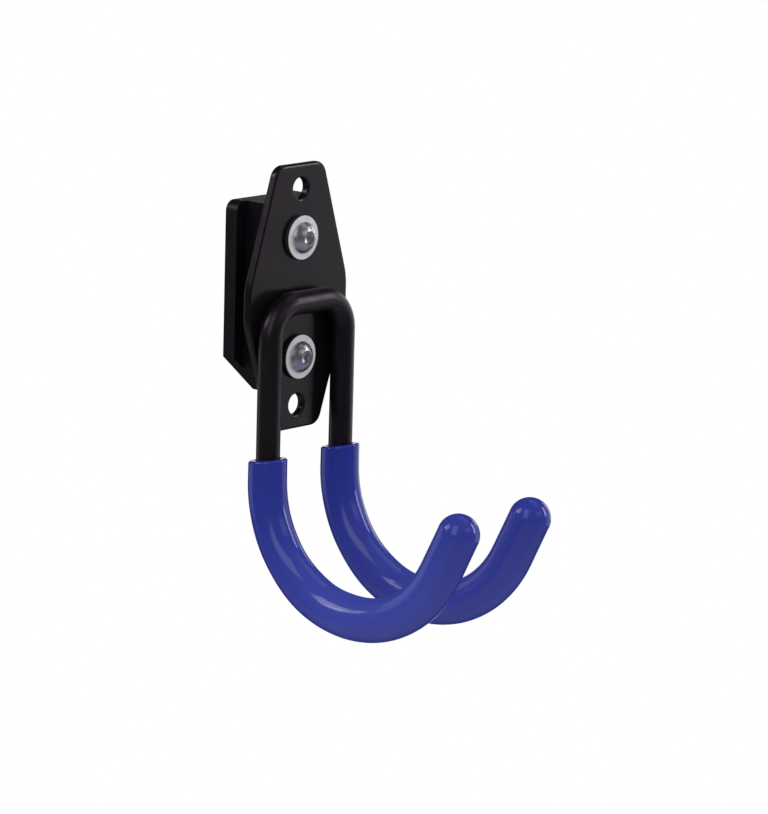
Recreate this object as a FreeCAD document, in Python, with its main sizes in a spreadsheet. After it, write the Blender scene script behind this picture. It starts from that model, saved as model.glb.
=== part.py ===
"""Wall hook: a steel plate on a T-slot mounting block carries one bent rod with two sleeved prongs.

Row frame in millimetres: +Z up, the wall is the plane Y = 0 and the prongs reach towards -Y.
The origin is the centre of the block's wall face, midway between the two screws.
"""
import FreeCAD, Part
import math
import os
import sys

import Sketcher
from FreeCAD import Placement, Rotation, Vector

# Driving sizes: alias, millimetres or degrees, what it is
SIZES = [
    ("plate_thickness", 3.0, "front plate, thickness"),
    ("plate_height", 89.0, "front plate, height"),
    ("plate_end_width", 23.0, "front plate, width at its top and bottom ends"),
    ("plate_waist_width", 48.5, "front plate, width at its widest part"),
    ("plate_waist_flat", 12.4, "front plate, upright length of its widest part"),
    ("plate_waist_z", -1.5, "front plate, height of the middle of its widest part"),
    ("plate_corner_radius", 5.0, "front plate, rounding of the four end corners"),
    ("plate_waist_radius", 22.0, "front plate, rounding of the four waist corners"),
    ("plate_rim_radius", 1.0, "front plate, soft rim along both faces"),
    ("fixing_hole_diameter", 7.0, "fixing holes in the plate"),
    ("fixing_hole_spacing", 72.6, "fixing holes, centre to centre"),
    ("rod_diameter", 8.0, "bent steel rod"),
    ("leg_spacing", 36.0, "rod legs, axis to axis"),
    ("arch_bar_z", -1.0, "height of the arch bar's axis"),
    ("arch_bend_radius", 11.0, "arch corners, radius of the rod's axis"),
    ("prong_bend_radius", 40.0, "prong bends, radius of the rod's axis"),
    ("prong_bottom_z", -98.75, "height of the rod's axis at the bottom of the prongs"),
    ("prong_lean", 27.0, "lean of the prong tips away from upright, in degrees"),
    ("prong_tip_length", 15.0, "straight prong tip, from the bend to the centre of its round end"),
    ("sleeve_straight", 7.0, "sleeves, straight length above the bend"),
    ("sleeve_wall", 3.25, "sleeve wall"),
    ("sleeve_end_wall", 5.0, "sleeve wall in front of the rod's end"),
    ("sleeve_bore_clearance", 0.05, "gap between rod and sleeve"),
    ("sleeve_lip_radius", 1.2, "rounding of the sleeve's open end"),
    ("weld_start", 1.5, "weld beads, distance of the inner end from the middle of the arch bar"),
    ("weld_length", 5.0, "weld beads, length"),
    ("weld_leg", 3.2, "weld beads, leg on the plate"),
    ("weld_height", 2.0, "weld beads, height on the rod"),
    ("weld_rod_reach", 3.6, "weld beads, distance of the rod edge from the line where rod and plate touch"),
    ("weld_root_gap", 1.0, "weld beads, distance of the root from the line where rod and plate touch"),
    ("block_depth", 14.0, "mounting block, from the wall to the plate"),
    ("block_width", 36.0, "mounting block, width of its flange"),
    ("block_height", 65.3, "mounting block, height"),
    ("block_top_z", 32.1, "mounting block, height of its top face"),
    ("block_flange_thickness", 5.0, "mounting block, flange against the wall"),
    ("block_groove_depth", 4.6, "mounting block, depth of the side grooves"),
    ("block_corner_radius", 3.5, "mounting block, rounding of the two top corners"),
    ("block_bottom_width", 6.0, "mounting block, width left flat between the bottom bevels"),
    ("block_bevel_height", 13.0, "mounting block, bottom bevels, up"),
    ("block_edge_radius", 0.8, "mounting block, soft edge of the flange"),
    ("screw_diameter", 6.0, "screw shank"),
    ("screw_length", 16.0, "screw, from under its head to its end"),
    ("screw_spacing", 40.0, "screws, centre to centre"),
    ("screw_hole_clearance", 0.3, "gap between shank and its holes"),
    ("screw_end_chamfer", 0.6, "bevel at the screw's end"),
    ("head_diameter", 10.5, "button head, diameter"),
    ("head_height", 3.3, "button head, height"),
    ("head_rim", 0.5, "button head, upright rim under the dome"),
    ("socket_width", 4.0, "hex socket, across flats"),
    ("socket_depth", 2.1, "hex socket, depth"),
    ("washer_diameter", 15.0, "washer, outer diameter"),
    ("washer_thickness", 1.5, "washer, thickness"),
    ("washer_edge", 0.3, "washer, bevel of its front edge"),
    ("nut_width", 10.0, "hex nut, across flats"),
    ("nut_height", 5.0, "hex nut, height"),
    ("nut_edge", 0.5, "hex nut, bevel at its bore"),
    ("nut_pocket_clearance", 0.15, "gap around the nut in its pocket"),
    ("thread_clearance", 0.05, "gap between the screw and the nut's bore"),
]

# Formulas shared by several pieces, in terms of the sheet's sizes
PLATE_FRONT = "(sizes.block_depth + sizes.plate_thickness)"
WAIST_TOP = "(sizes.plate_waist_z + sizes.plate_waist_flat / 2)"
WAIST_BOTTOM = "(sizes.plate_waist_z - sizes.plate_waist_flat / 2)"
ROD_RADIUS = "(sizes.rod_diameter / 2)"
ROD_FORWARD = f"({PLATE_FRONT} + {ROD_RADIUS})"
BEND_Y = f"(-{ROD_FORWARD} - sizes.prong_bend_radius)"
BEND_Z = "(sizes.prong_bottom_z + sizes.prong_bend_radius)"
SLEEVE_TOP = f"({BEND_Z} + sizes.sleeve_straight)"
SLEEVE_RADIUS = f"({ROD_RADIUS} + sizes.sleeve_wall)"
SLEEVE_BORE_RADIUS = f"({ROD_RADIUS} + sizes.sleeve_bore_clearance)"
ROD_TIP_LENGTH = f"(sizes.prong_tip_length + {SLEEVE_RADIUS} - sizes.sleeve_end_wall)"
WASHER_FRONT = f"({PLATE_FRONT} + sizes.washer_thickness)"
SCREW_END = f"({WASHER_FRONT} - sizes.screw_length)"
SCREW_HOLE_RADIUS = "(sizes.screw_diameter / 2 + sizes.screw_hole_clearance)"
NUT_FRONT = f"({SCREW_END} + sizes.nut_height)"

SIDES = {"left": -1, "right": 1}
LEVELS = {"upper": 1, "lower": -1}
FORWARD_FROM_UP = Rotation(Vector(1, 0, 0), 90)

doc = FreeCAD.newDocument("wall_hook")
sheet = doc.addObject("Spreadsheet::Sheet", "sizes")
for row, (alias, value, meaning) in enumerate(SIZES, start=1):
    sheet.set(f"A{row}", meaning)
    sheet.set(f"B{row}", str(value))
    sheet.setAlias(f"B{row}", alias)
doc.recompute()


def measure(formula):
    """Value of a formula with the sheet's present sizes."""
    return float(sheet.evalExpression(formula))


def new_body(node):
    """Empty body whose label is the node's name."""
    body = doc.addObject("PartDesign::Body", node)
    body.Label = node
    return body


def new_sketch(body, name, role, offset="0"):
    """Sketch parallel to one of the body's own origin planes."""
    sketch = body.newObject("Sketcher::SketchObject", name)
    plane = next(item for item in body.Origin.OriginFeatures if item.Role == role)
    sketch.AttachmentSupport = [(plane, "")]
    sketch.MapMode = "FlatFace"
    sketch.setExpression("AttachmentOffset.Base.z", offset)
    return sketch


def hold(sketch, constraint, formula):
    """Add a driving constraint whose value follows a formula."""
    index = sketch.addConstraint(constraint)
    sketch.setExpression(f"Constraints[{index}]", formula)


def hold_point(sketch, item, point, across, up):
    """Hold one point of a sketch item at two formulas, measured from the sketch's origin."""
    hold(sketch, Sketcher.Constraint("DistanceX", -1, 1, item, point, measure(across)), across)
    hold(sketch, Sketcher.Constraint("DistanceY", -1, 1, item, point, measure(up)), up)


def spot(across, up):
    """Starting place of a sketch point."""
    return Vector(measure(across), measure(up), 0)


def add_lines(sketch, points, closed):
    """Straight lines from point to point, each point held at its two formulas."""
    first = sketch.GeometryCount
    pairs = list(zip(points, points[1:] + points[:1])) if closed else list(zip(points, points[1:]))
    for start, end in pairs:
        sketch.addGeometry(Part.LineSegment(spot(*start), spot(*end)), False)
    for number, (start, end) in enumerate(pairs):
        hold_point(sketch, first + number, 1, *start)
        if number + 1 < len(pairs):
            sketch.addConstraint(Sketcher.Constraint("Coincident", first + number, 2, first + number + 1, 1))
        elif closed:
            sketch.addConstraint(Sketcher.Constraint("Coincident", first + number, 2, first, 1))
        else:
            hold_point(sketch, first + number, 2, *end)


def add_circle(sketch, across, up, radius):
    """Circle with its centre and radius held at formulas."""
    circle = Part.Circle(spot(across, up), Vector(0, 0, 1), measure(radius))
    item = sketch.addGeometry(circle, False)
    hold_point(sketch, item, 3, across, up)
    hold(sketch, Sketcher.Constraint("Radius", item, measure(radius)), radius)


def hexagon(width):
    """Corners of a hexagon about the sketch's origin, from its width across flats."""
    reach = f"({width}) / sqrt(3)"
    return [(f"{reach} * cos({60 * corner})", f"{reach} * sin({60 * corner})") for corner in range(6)]


def add_pad(body, name, sketch, length):
    """Pad along the sketch's own normal."""
    pad = body.newObject("PartDesign::Pad", name)
    pad.Profile = sketch
    pad.setExpression("Length", length)
    return pad


def add_hole(body, name, sketch):
    """Cut the sketch right through the body, both ways from its plane."""
    pocket = body.newObject("PartDesign::Pocket", name)
    pocket.Profile = sketch
    pocket.Type = "ThroughAll"
    pocket.Midplane = True
    return pocket


def add_blind_hole(body, name, sketch, depth):
    """Cut the sketch along its own normal to a depth."""
    pocket = body.newObject("PartDesign::Pocket", name)
    pocket.Profile = sketch
    pocket.Reversed = True
    pocket.setExpression("Length", depth)
    return pocket


def dress_edges(body, kind, name, size_name, size, chosen):
    """Round or bevel the edges of the body's last feature that the test picks."""
    doc.recompute()
    base = body.Tip
    edges = [f"Edge{number}" for number, edge in enumerate(base.Shape.Edges, start=1) if chosen(edge)]
    dressing = body.newObject(f"PartDesign::{kind}", name)
    dressing.Base = (base, edges)
    dressing.setExpression(size_name, size)
    return dressing


def lies_at_y(edge, y):
    """Whether the whole edge lies in the plane at this Y."""
    box = edge.BoundBox
    return abs(box.YMin - y) < 1e-4 and abs(box.YMax - y) < 1e-4


def runs_along_y(edge):
    """Whether the edge is a straight line along Y."""
    box = edge.BoundBox
    return box.XLength < 1e-4 and box.ZLength < 1e-4


def add_pipe(body, kind, name, profile, path):
    """Sweep a profile along a sketched path."""
    pipe = body.newObject(f"PartDesign::{kind}", name)
    pipe.Profile = profile
    pipe.Spine = path
    return pipe


def prong_path(body, name, side, top, tip_length):
    """Sketch of one prong's axis from a height on its leg, round its bend and along its straight tip."""
    path = new_sketch(body, name, "YZ_Plane", f"{side} * sizes.leg_spacing / 2")
    leg_y = f"-{ROD_FORWARD}"
    bend_end = (f"{BEND_Y} - sizes.prong_bend_radius * cos(sizes.prong_lean)",
                f"{BEND_Z} - sizes.prong_bend_radius * sin(sizes.prong_lean)")
    tip = (f"{bend_end[0]} - {tip_length} * sin(sizes.prong_lean)",
           f"{bend_end[1]} + {tip_length} * cos(sizes.prong_lean)")
    bend_start = (leg_y, BEND_Z)
    bend = 0
    if top != BEND_Z:
        path.addGeometry(Part.LineSegment(spot(leg_y, top), spot(*bend_start)), False)
        hold_point(path, 0, 1, leg_y, top)
        bend = 1
    circle = Part.Circle(spot(BEND_Y, BEND_Z), Vector(0, 0, 1), measure("sizes.prong_bend_radius"))
    turn = math.radians(180 + measure("sizes.prong_lean"))
    path.addGeometry(Part.ArcOfCircle(circle, turn, 2 * math.pi), False)
    path.addGeometry(Part.LineSegment(spot(*bend_end), spot(*tip)), False)
    if bend == 1:
        path.addConstraint(Sketcher.Constraint("Coincident", 0, 2, bend, 2))
    hold_point(path, bend, 3, BEND_Y, BEND_Z)
    hold_point(path, bend, 2, *bend_start)
    hold(path, Sketcher.Constraint("DistanceY", -1, 1, bend, 1, measure(bend_end[1])), bend_end[1])
    path.addConstraint(Sketcher.Constraint("Coincident", bend, 1, bend + 1, 1))
    hold_point(path, bend + 1, 2, *tip)
    return path


def leg_section(body, name, side, height, radius):
    """Round section across one leg at a height."""
    section = new_sketch(body, name, "XY_Plane", height)
    add_circle(section, f"{side} * sizes.leg_spacing / 2", f"-{ROD_FORWARD}", radius)
    return section


# Front plate: an elongated hexagon with rounded corners, two fixing holes and two screw holes
plate = new_body("front_plate")
outline = new_sketch(plate, "plate_outline", "XZ_Plane", "sizes.block_depth")
add_lines(outline, [
    ("sizes.plate_end_width / 2", "sizes.plate_height / 2"),
    ("sizes.plate_waist_width / 2", WAIST_TOP),
    ("sizes.plate_waist_width / 2", WAIST_BOTTOM),
    ("sizes.plate_end_width / 2", "-sizes.plate_height / 2"),
    ("-sizes.plate_end_width / 2", "-sizes.plate_height / 2"),
    ("-sizes.plate_waist_width / 2", WAIST_BOTTOM),
    ("-sizes.plate_waist_width / 2", WAIST_TOP),
    ("-sizes.plate_end_width / 2", "sizes.plate_height / 2"),
], closed=True)
add_pad(plate, "plate_pad", outline, "sizes.plate_thickness")
end_z = measure("sizes.plate_height") / 2
dress_edges(plate, "Fillet", "end_corners", "Radius", "sizes.plate_corner_radius",
            lambda edge: runs_along_y(edge) and abs(abs(edge.CenterOfMass.z) - end_z) < 1e-4)
waist_x = measure("sizes.plate_waist_width") / 2
dress_edges(plate, "Fillet", "waist_corners", "Radius", "sizes.plate_waist_radius",
            lambda edge: runs_along_y(edge) and abs(abs(edge.CenterOfMass.x) - waist_x) < 1e-4)
plate_faces = (-measure("sizes.block_depth"), -measure(PLATE_FRONT))
dress_edges(plate, "Fillet", "soft_rim", "Radius", "sizes.plate_rim_radius",
            lambda edge: any(lies_at_y(edge, face) for face in plate_faces))
plate_holes = new_sketch(plate, "plate_holes", "XZ_Plane", "sizes.block_depth")
for sign in LEVELS.values():
    add_circle(plate_holes, "0", f"{sign} * sizes.fixing_hole_spacing / 2", "sizes.fixing_hole_diameter / 2")
    add_circle(plate_holes, "0", f"{sign} * sizes.screw_spacing / 2", SCREW_HOLE_RADIUS)
add_hole(plate, "plate_hole_cut", plate_holes)

# Hook rod: an arch across the plate whose two legs run on into the prongs
rod = new_body("hook_rod")
arch = new_sketch(rod, "arch_path", "XZ_Plane", ROD_FORWARD)
half = "sizes.leg_spacing / 2"
arch_low = "(sizes.arch_bar_z - sizes.arch_bend_radius)"
arch.addGeometry(Part.LineSegment(spot(f"-{half}", BEND_Z), spot(f"-{half}", arch_low)), False)
corner_reach = measure("sizes.arch_bend_radius")
left_corner = Part.Circle(spot(f"-{half} + sizes.arch_bend_radius", arch_low), Vector(0, 0, 1), corner_reach)
arch.addGeometry(Part.ArcOfCircle(left_corner, math.pi / 2, math.pi), False)
arch.addGeometry(Part.LineSegment(spot(f"-{half} + sizes.arch_bend_radius", "sizes.arch_bar_z"),
                                  spot(f"{half} - sizes.arch_bend_radius", "sizes.arch_bar_z")), False)
right_corner = Part.Circle(spot(f"{half} - sizes.arch_bend_radius", arch_low), Vector(0, 0, 1), corner_reach)
arch.addGeometry(Part.ArcOfCircle(right_corner, 0, math.pi / 2), False)
arch.addGeometry(Part.LineSegment(spot(half, arch_low), spot(half, BEND_Z)), False)
hold_point(arch, 0, 1, f"-{half}", BEND_Z)
hold_point(arch, 0, 2, f"-{half}", arch_low)
hold_point(arch, 1, 3, f"-{half} + sizes.arch_bend_radius", arch_low)
arch.addConstraint(Sketcher.Constraint("Coincident", 0, 2, 1, 2))
arch.addConstraint(Sketcher.Constraint("Coincident", 1, 1, 2, 1))
for point, across in ((1, f"-{half} + sizes.arch_bend_radius"), (2, f"{half} - sizes.arch_bend_radius")):
    hold(arch, Sketcher.Constraint("DistanceX", -1, 1, 2, point, measure(across)), across)
arch.addConstraint(Sketcher.Constraint("Coincident", 2, 2, 3, 2))
hold_point(arch, 3, 3, f"{half} - sizes.arch_bend_radius", arch_low)
arch.addConstraint(Sketcher.Constraint("Coincident", 3, 1, 4, 1))
hold_point(arch, 4, 1, half, arch_low)
hold_point(arch, 4, 2, half, BEND_Z)
add_pipe(rod, "AdditivePipe", "arch_pipe", leg_section(rod, "arch_section", -1, BEND_Z, ROD_RADIUS), arch)
for name, side in SIDES.items():
    section = leg_section(rod, f"{name}_prong_section", side, BEND_Z, ROD_RADIUS)
    path = prong_path(rod, f"{name}_prong_path", side, BEND_Z, ROD_TIP_LENGTH)
    add_pipe(rod, "AdditivePipe", f"{name}_prong_pipe", section, path)

# Sleeves: a thick tube with a round closed end over each prong
sleeves = []
for name, side in SIDES.items():
    sleeve = new_body(f"sleeve_{name}")
    skin = leg_section(sleeve, "skin_section", side, SLEEVE_TOP, SLEEVE_RADIUS)
    skin_path = prong_path(sleeve, "skin_path", side, SLEEVE_TOP, "sizes.prong_tip_length")
    add_pipe(sleeve, "AdditivePipe", "skin_pipe", skin, skin_path)
    dome = sleeve.newObject("PartDesign::AdditiveSphere", "round_end")
    dome.setExpression("Radius", SLEEVE_RADIUS)
    dome.setExpression("Placement.Base.x", f"{side} * sizes.leg_spacing / 2")
    dome.setExpression("Placement.Base.y", f"{BEND_Y} - sizes.prong_bend_radius * cos(sizes.prong_lean)"
                                           " - sizes.prong_tip_length * sin(sizes.prong_lean)")
    dome.setExpression("Placement.Base.z", f"{BEND_Z} - sizes.prong_bend_radius * sin(sizes.prong_lean)"
                                           " + sizes.prong_tip_length * cos(sizes.prong_lean)")
    bore = leg_section(sleeve, "bore_section", side, SLEEVE_TOP, SLEEVE_BORE_RADIUS)
    bore_path = prong_path(sleeve, "bore_path", side, SLEEVE_TOP, ROD_TIP_LENGTH)
    add_pipe(sleeve, "SubtractivePipe", "bore_pipe", bore, bore_path)
    open_end = measure(SLEEVE_TOP)
    lip_width = 2 * measure(SLEEVE_RADIUS)
    dress_edges(sleeve, "Fillet", "open_end_lip", "Radius", "sizes.sleeve_lip_radius",
                lambda edge: abs(edge.BoundBox.ZMin - open_end) < 1e-4
                and abs(edge.BoundBox.ZMax - open_end) < 1e-4
                and abs(edge.BoundBox.XLength - lip_width) < 1e-2)
    sleeves.append(sleeve)

# Weld beads: two along the underside of the arch bar, between rod and plate
welds = []
for name, side in SIDES.items():
    weld = new_body(f"weld_{name}")
    bead = new_sketch(weld, "bead_section", "YZ_Plane",
                      f"{side} * (sizes.weld_start + sizes.weld_length / 2) - sizes.weld_length / 2")
    root = "sizes.arch_bar_z - sizes.weld_root_gap"
    add_lines(bead, [
        (f"-{PLATE_FRONT}", root),
        (f"-{PLATE_FRONT}", f"{root} - sizes.weld_leg"),
        (f"-{PLATE_FRONT} - sizes.weld_height", "sizes.arch_bar_z - sizes.weld_rod_reach"),
        (f"-{PLATE_FRONT} - sizes.weld_height", root),
    ], closed=True)
    add_pad(weld, "bead_pad", bead, "sizes.weld_length")
    relief = new_sketch(weld, "relief_section", "YZ_Plane")
    add_circle(relief, f"-{ROD_FORWARD}", "sizes.arch_bar_z", ROD_RADIUS)
    add_hole(weld, "rod_relief", relief)
    welds.append(weld)

# Mounting block: bevelled at the bottom, with a groove down each side for the rail's lips
block = new_body("mount_block")
block_bottom = "(sizes.block_top_z - sizes.block_height)"
block_outline = new_sketch(block, "block_outline", "XZ_Plane")
add_lines(block_outline, [
    ("sizes.block_width / 2", "sizes.block_top_z"),
    ("sizes.block_width / 2", f"{block_bottom} + sizes.block_bevel_height"),
    ("sizes.block_bottom_width / 2", block_bottom),
    ("-sizes.block_bottom_width / 2", block_bottom),
    ("-sizes.block_width / 2", f"{block_bottom} + sizes.block_bevel_height"),
    ("-sizes.block_width / 2", "sizes.block_top_z"),
], closed=True)
add_pad(block, "block_pad", block_outline, "sizes.block_depth")
block_top = measure("sizes.block_top_z")
dress_edges(block, "Fillet", "top_corners", "Radius", "sizes.block_corner_radius",
            lambda edge: runs_along_y(edge) and abs(edge.CenterOfMass.z - block_top) < 1e-4)
dress_edges(block, "Fillet", "wall_edge", "Radius", "sizes.block_edge_radius",
            lambda edge: lies_at_y(edge, 0))
grooves = new_sketch(block, "grooves", "XZ_Plane", "sizes.block_flange_thickness")
for side in SIDES.values():
    floor = f"{side} * (sizes.block_width / 2 - sizes.block_groove_depth)"
    outside = f"{side} * (sizes.block_width / 2 + sizes.block_groove_depth)"
    above = "sizes.block_top_z + sizes.block_groove_depth"
    below = f"{block_bottom} - sizes.block_groove_depth"
    add_lines(grooves, [(floor, below), (outside, below), (outside, above), (floor, above)], closed=True)
add_blind_hole(block, "groove_cut", grooves, "sizes.block_depth - sizes.block_flange_thickness")
screw_holes = new_sketch(block, "screw_holes", "XZ_Plane")
for sign in LEVELS.values():
    add_circle(screw_holes, "0", f"{sign} * sizes.screw_spacing / 2", SCREW_HOLE_RADIUS)
add_hole(block, "screw_hole_cut", screw_holes)
nut_pockets = new_sketch(block, "nut_pockets", "XZ_Plane")
for sign in LEVELS.values():
    corners = hexagon("sizes.nut_width + 2 * sizes.nut_pocket_clearance")
    centred = [(across, f"{up} + {sign} * sizes.screw_spacing / 2") for across, up in corners]
    add_lines(nut_pockets, centred, closed=True)
add_blind_hole(block, "nut_pocket_cut", nut_pockets, NUT_FRONT)


def place(body, forward, sign):
    """Stand a turned piece on a screw's axis, its own +Z pointing out of the wall."""
    body.Placement = Placement(Vector(0, 0, 0), FORWARD_FROM_UP)
    body.setExpression("Placement.Base.y", f"-{forward}")
    body.setExpression("Placement.Base.z", f"{sign} * sizes.screw_spacing / 2")


# Screws, washers and nuts: one of each on both screw axes
fasteners = []
for level, sign in LEVELS.items():
    screw = new_body(f"screw_{level}")
    profile = new_sketch(screw, "screw_profile", "XZ_Plane")
    dome_rise = "(sizes.head_height - sizes.head_rim)"
    dome_radius = f"((pow(sizes.head_diameter / 2; 2) + pow({dome_rise}; 2)) / (2 * {dome_rise}))"
    dome_centre = f"sizes.head_height - {dome_radius}"
    rim_top = ("sizes.head_diameter / 2", "sizes.head_rim")
    dome_circle = Part.Circle(spot("0", dome_centre), Vector(0, 0, 1), measure(dome_radius))
    dome_start = math.atan2(measure(f"sizes.head_rim - ({dome_centre})"), measure(rim_top[0]))
    dome_arc = profile.addGeometry(Part.ArcOfCircle(dome_circle, dome_start, math.pi / 2), False)
    add_lines(profile, [
        ("0", "sizes.head_height"),
        ("0", "-sizes.screw_length"),
        ("sizes.screw_diameter / 2 - sizes.screw_end_chamfer", "-sizes.screw_length"),
        ("sizes.screw_diameter / 2", "sizes.screw_end_chamfer - sizes.screw_length"),
        ("sizes.screw_diameter / 2", "0"),
        ("sizes.head_diameter / 2", "0"),
        rim_top,
    ], closed=False)
    last_line = profile.GeometryCount - 1
    hold_point(profile, dome_arc, 3, "0", dome_centre)
    profile.addConstraint(Sketcher.Constraint("Coincident", dome_arc, 1, last_line, 2))
    profile.addConstraint(Sketcher.Constraint("PointOnObject", dome_arc, 2, -2))
    turned = screw.newObject("PartDesign::Revolution", "turned_screw")
    turned.Profile = profile
    turned.ReferenceAxis = (profile, ["V_Axis"])
    socket = new_sketch(screw, "socket", "XY_Plane", "sizes.head_height - sizes.socket_depth")
    add_lines(socket, hexagon("sizes.socket_width"), closed=True)
    add_blind_hole(screw, "socket_cut", socket, "sizes.socket_depth")
    place(screw, WASHER_FRONT, sign)

    washer = new_body(f"washer_{level}")
    ring = new_sketch(washer, "ring", "XY_Plane")
    add_circle(ring, "0", "0", "sizes.washer_diameter / 2")
    add_circle(ring, "0", "0", SCREW_HOLE_RADIUS)
    add_pad(washer, "ring_pad", ring, "sizes.washer_thickness")
    washer_face = measure("sizes.washer_thickness")
    washer_reach = measure("sizes.washer_diameter")
    dress_edges(washer, "Chamfer", "front_edge", "Size", "sizes.washer_edge",
                lambda edge: abs(edge.BoundBox.ZMin - washer_face) < 1e-4
                and abs(edge.BoundBox.XLength - washer_reach) < 1e-2)
    place(washer, PLATE_FRONT, sign)

    nut = new_body(f"nut_{level}")
    nut_outline = new_sketch(nut, "nut_outline", "XY_Plane")
    add_lines(nut_outline, hexagon("sizes.nut_width"), closed=True)
    add_circle(nut_outline, "0", "0", "sizes.screw_diameter / 2 + sizes.thread_clearance")
    add_pad(nut, "nut_pad", nut_outline, "sizes.nut_height")
    bore_reach = 2 * measure("sizes.screw_diameter / 2 + sizes.thread_clearance")
    dress_edges(nut, "Chamfer", "bore_bevel", "Size", "sizes.nut_edge",
                lambda edge: edge.BoundBox.ZLength < 1e-4 and abs(edge.BoundBox.XLength - bore_reach) < 1e-2)
    place(nut, SCREW_END, sign)
    fasteners += [screw, washer, nut]

doc.recompute()
pieces = [plate, rod, *sleeves, *welds, block, *fasteners]
faults = [item.Name for item in doc.Objects if "Invalid" in item.State or "Error" in item.State]
for piece in pieces:
    if piece.Shape.isNull() or not piece.Shape.isValid() or len(piece.Shape.Solids) != 1:
        faults.append(piece.Label)
if faults:
    sys.exit("These objects failed: " + ", ".join(faults))
os.makedirs("parts", exist_ok=True)
for piece in pieces:
    piece.Shape.exportStep(f"parts/{piece.Label}.step")
    box = piece.Shape.BoundBox
    print(f"{piece.Label}: {piece.Shape.Volume:.1f} mm3, X {box.XMin:.2f} to {box.XMax:.2f},"
          f" Y {box.YMin:.2f} to {box.YMax:.2f}, Z {box.ZMin:.2f} to {box.ZMax:.2f}")
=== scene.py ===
import math

import bmesh
import bpy
from mathutils import Matrix, Vector, noise


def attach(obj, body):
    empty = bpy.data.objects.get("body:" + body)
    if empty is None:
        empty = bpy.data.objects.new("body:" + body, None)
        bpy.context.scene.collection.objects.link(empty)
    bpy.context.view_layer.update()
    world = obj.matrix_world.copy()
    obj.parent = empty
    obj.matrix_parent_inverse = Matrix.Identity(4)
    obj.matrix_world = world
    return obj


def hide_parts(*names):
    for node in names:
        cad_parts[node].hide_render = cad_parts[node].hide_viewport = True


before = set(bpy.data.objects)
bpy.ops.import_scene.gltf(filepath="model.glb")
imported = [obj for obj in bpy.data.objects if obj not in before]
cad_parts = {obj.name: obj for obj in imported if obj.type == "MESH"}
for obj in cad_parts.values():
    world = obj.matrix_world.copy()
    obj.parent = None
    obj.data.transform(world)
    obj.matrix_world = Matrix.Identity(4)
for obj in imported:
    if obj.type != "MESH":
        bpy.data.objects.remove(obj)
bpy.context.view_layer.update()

# All lengths are in millimetres in the row frame; the scene itself is in metres,
# and the scales of patterns count per metre
MM = 0.001
PLATE_FRONT = -17.0
PLATE_BACK = -14.0
ROD_RADIUS = 4.0
ROD_Y = -21.0
LEG_X = 18.0
ARCH_Z = -1.0
ARCH_BEND = 11.0
BEND_RADIUS = 40.0
BEND_Y = -61.0
BEND_Z = -58.75
TIP_LEAN = math.radians(27.0)
TIP_LENGTH = 15.0
ROD_PAST_TIP = 2.0
WASHER_RADIUS = 7.5
SCREW_LEVELS = {"upper": 20.0, "lower": -20.0}
SIDES = {"left": -1.0, "right": 1.0}
QUARTER_TURN = math.pi / 2


# Small helpers
def smooth_step(low, high, value):
    """0 below low, 1 above high and a soft change between them."""
    share = min(1.0, max(0.0, (value - low) / (high - low)))
    return share * share * (3.0 - 2.0 * share)


def smooth_between(stops, value):
    """Value read from a list of places and values, with a soft change from each to the next."""
    for (low, low_value), (high, high_value) in zip(stops, stops[1:]):
        if value <= high:
            return low_value + (high_value - low_value) * smooth_step(low, high, value)
    return stops[-1][1]


def arc_angles(start, end, steps):
    """Evenly spaced angles, both ends included."""
    return [start + (end - start) * step / steps for step in range(steps + 1)]


def direction(azimuth, elevation):
    """Unit vector from degrees; azimuth 0 points away from the wall and 90 to the right."""
    turn = math.radians(azimuth)
    rise = math.radians(elevation)
    return Vector((math.sin(turn) * math.cos(rise), -math.cos(turn) * math.cos(rise), math.sin(rise)))


def new_object(name, data):
    """Object linked into the scene."""
    made = bpy.data.objects.new(name, data)
    bpy.context.scene.collection.objects.link(made)
    return made


def new_mesh(name, bm):
    """Mesh from a bmesh, which is used up."""
    mesh = bpy.data.meshes.new(name)
    bm.to_mesh(mesh)
    bm.free()
    return mesh


# Camera: fitted to the photograph's outlines
PHOTO_WIDTH = 768
PHOTO_HEIGHT = 814
CAMERA_DISTANCE = 1570.6
CAMERA_AZIMUTH = -49.5
CAMERA_ELEVATION = 11.26
CAMERA_ROLL = math.radians(1.51)
CAMERA_TARGET = Vector((0.0, -59.75, -30.4))
TARGET_PIXEL = (394.24, 405.83)
FOCAL_PIXELS = 4812.25
SENSOR = 36.0
CLIP_START = 100.0
CLIP_END = 50000.0


def add_camera():
    """Camera at the photograph's place, turned so that the target falls on its own pixel."""
    back = direction(CAMERA_AZIMUTH, CAMERA_ELEVATION)
    level = direction(CAMERA_AZIMUTH + 90.0, 0.0)
    upright = back.cross(level)
    right = level * math.cos(CAMERA_ROLL) + upright * math.sin(CAMERA_ROLL)
    up = upright * math.cos(CAMERA_ROLL) - level * math.sin(CAMERA_ROLL)
    aside = (PHOTO_WIDTH / 2 - TARGET_PIXEL[0]) / FOCAL_PIXELS
    above = (TARGET_PIXEL[1] - PHOTO_HEIGHT / 2) / FOCAL_PIXELS
    sight_back = (back - right * aside - up * above).normalized()
    sight_right = up.cross(sight_back).normalized()
    sight_up = sight_back.cross(sight_right)
    data = bpy.data.cameras.new("photo_camera")
    data.sensor_fit = "AUTO"
    data.sensor_width = SENSOR
    data.lens = FOCAL_PIXELS * SENSOR / PHOTO_HEIGHT
    data.clip_start = CLIP_START * MM
    data.clip_end = CLIP_END * MM
    camera = new_object("photo_camera", data)
    place = (CAMERA_TARGET + back * CAMERA_DISTANCE) * MM
    turn = Matrix((sight_right, sight_up, sight_back)).transposed().to_4x4()
    camera.matrix_world = Matrix.Translation(place) @ turn
    bpy.context.scene.camera = camera


add_camera()


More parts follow.
